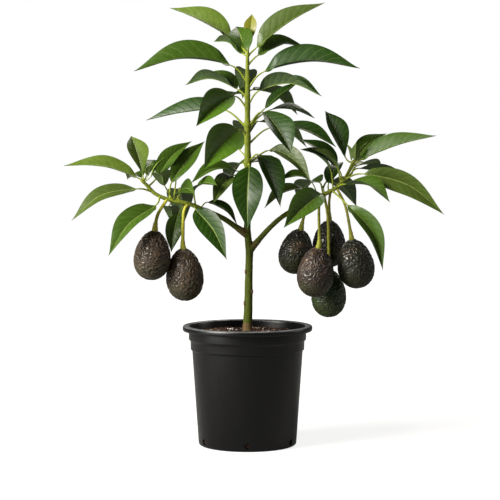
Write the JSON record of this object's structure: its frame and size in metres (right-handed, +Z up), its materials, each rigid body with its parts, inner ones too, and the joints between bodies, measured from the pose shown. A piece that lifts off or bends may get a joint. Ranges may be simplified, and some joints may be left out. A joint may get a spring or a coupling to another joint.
{
  "type": "avocado tree in a pot",
  "caption": "Young avocado tree with glossy folded leaves and hanging dark pebbled fruit on side boughs, in a round tapered black nursery pot filled with bark mix.",
  "frame": {"origin": "centre of the pot's flat underside, on the ground", "axes": "+Z up along the trunk, -Y to the side seen in front, +X to the side of the bough with the larger group of fruit"},
  "size_m": [0.67, 0.2771, 0.795],
  "materials": {
    "pot_plastic": "satin black moulded plastic",
    "potting_mix": "loose dark bark mix",
    "bark": "green young bark, brown and wrinkled at the base and forks",
    "leaves": "glossy leaf, paler and matte below",
    "fruit_skin": "pebbled satin skin"
  },
  "bodies": {
    "root": {"pot": "pot_plastic", "potting_mix": "potting_mix", "trunk": "bark", "bough_left": "bark", "bough_right": "bark", "foliage_top": "leaves", "foliage_upper_left": "leaves", "foliage_upper_right": "leaves", "foliage_middle_left": "leaves", "foliage_middle_right": "leaves", "foliage_front": "leaves", "foliage_lower_left": "leaves", "foliage_lower_right": "leaves", "foliage_left": "leaves", "foliage_right": "leaves", "foliage_back_top": "leaves", "foliage_back_upper": "leaves", "foliage_back_middle": "leaves", "foliage_back_lower": "leaves", "fruit_1": "fruit_skin", "fruit_2": "fruit_skin", "fruit_3": "fruit_skin", "fruit_4": "fruit_skin", "fruit_5": "fruit_skin", "fruit_6": "fruit_skin", "fruit_7": "fruit_skin"}
  },
  "joints": []
}
